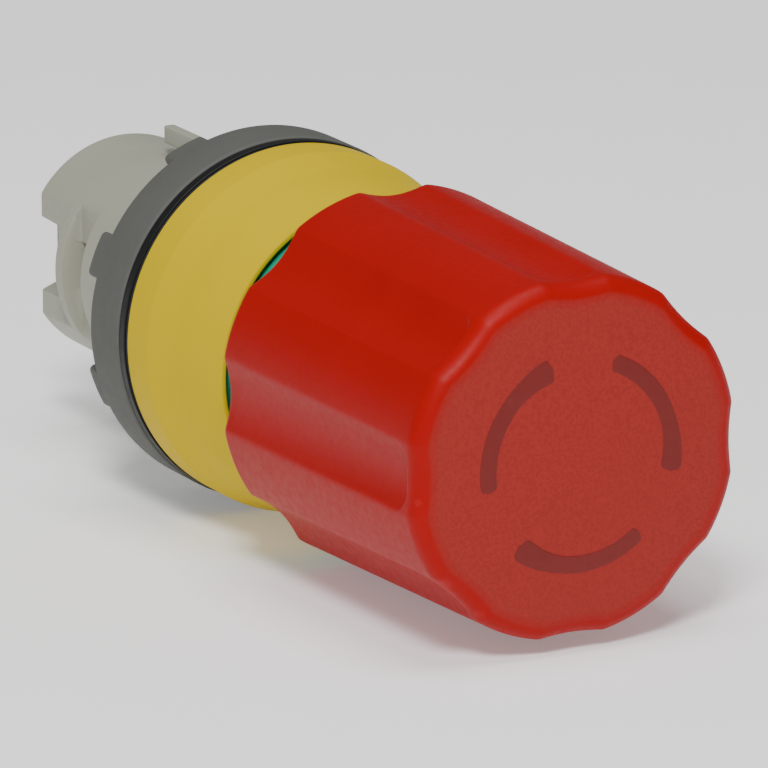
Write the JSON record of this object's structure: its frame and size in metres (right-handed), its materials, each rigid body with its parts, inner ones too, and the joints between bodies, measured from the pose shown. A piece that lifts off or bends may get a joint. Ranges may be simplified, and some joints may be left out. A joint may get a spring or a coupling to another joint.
{
  "type": "emergency stop button",
  "caption": "Panel-mounted push-lock, twist-release emergency stop operator with a fluted red head, a yellow collar, a green indicator sleeve, a lugged panel seal and a round bayonet neck.",
  "frame": {"origin": "on the operator's axis, in the panel's front plane, where the seal's lugs rest", "axes": "+Y along the axis away from the head, through the panel hole; +Z towards the locating key at 12 o'clock; +X to the right seen from the front"},
  "size_m": [0.0302, 0.0783, 0.0302],
  "materials": {
    "red_cap": "fine moulded grain",
    "dark_red": "matt moulded inlay",
    "yellow": "satin",
    "green": "satin",
    "black": "satin",
    "seal_grey": "matt",
    "gasket_grey": "matt",
    "light_grey": "fine moulded grain",
    "white_pom": "satin",
    "black_rubber": "matt",
    "steel": "turned",
    "spring_steel": "drawn wire",
    "brass": "machined"
  },
  "bodies": {
    "housing": {"neck_body": "light_grey", "panel_seal": "seal_grey", "base_ring": "black", "collar_gasket": "gasket_grey", "yellow_collar": "yellow", "indicator_sleeve": "green", "latch_ring": "steel", "guide_bush": "brass", "stem_seal": "black_rubber", "seal_washer": "steel", "return_spring": "spring_steel"},
    "plunger": {"stem": "steel", "stem_circlip": "spring_steel", "latch_carrier": "white_pom", "pawl_spring_left": "spring_steel", "pawl_spring_right": "spring_steel", "contact_actuator": "white_pom", "actuator_screw": "steel", "head_screw": "steel"},
    "head": {"head_cap": "red_cap", "arrow_marks": "dark_red", "head_hub": "white_pom", "release_cam": "white_pom", "skirt_seal": "black_rubber", "twist_spring": "spring_steel"},
    "pawl_left": {"latch_pawl_left": "brass"},
    "pawl_right": {"latch_pawl_right": "brass"}
  },
  "joints": [
    {"name": "press", "type": "slide", "parent": "housing", "child": "plunger", "axis": [0, 1, 0], "range_m": [0, 0.003], "stiffness_N_per_m": 800, "springref_m": -0.006, "deforming": ["return_spring"]},
    {"name": "twist", "type": "hinge", "parent": "plunger", "child": "head", "pos_m": [0, -0.04, 0], "axis": [0, 1, 0], "range_deg": [0, 45], "stiffness_Nm_per_rad": 0.02, "springref_deg": -17.19},
    {"name": "pawl_left_slide", "type": "slide", "parent": "plunger", "child": "pawl_left", "axis": [-1, 0, 0], "range_m": [0, 0.0012], "deforming": ["pawl_spring_left"]},
    {"name": "pawl_right_slide", "type": "slide", "parent": "plunger", "child": "pawl_right", "axis": [1, 0, 0], "range_m": [0, 0.0012], "deforming": ["pawl_spring_right"]}
  ],
  "couplings": [
    {"joint": "pawl_left_slide", "follows": "press", "ratio": 0.4},
    {"joint": "pawl_right_slide", "follows": "press", "ratio": 0.4}
  ]
}
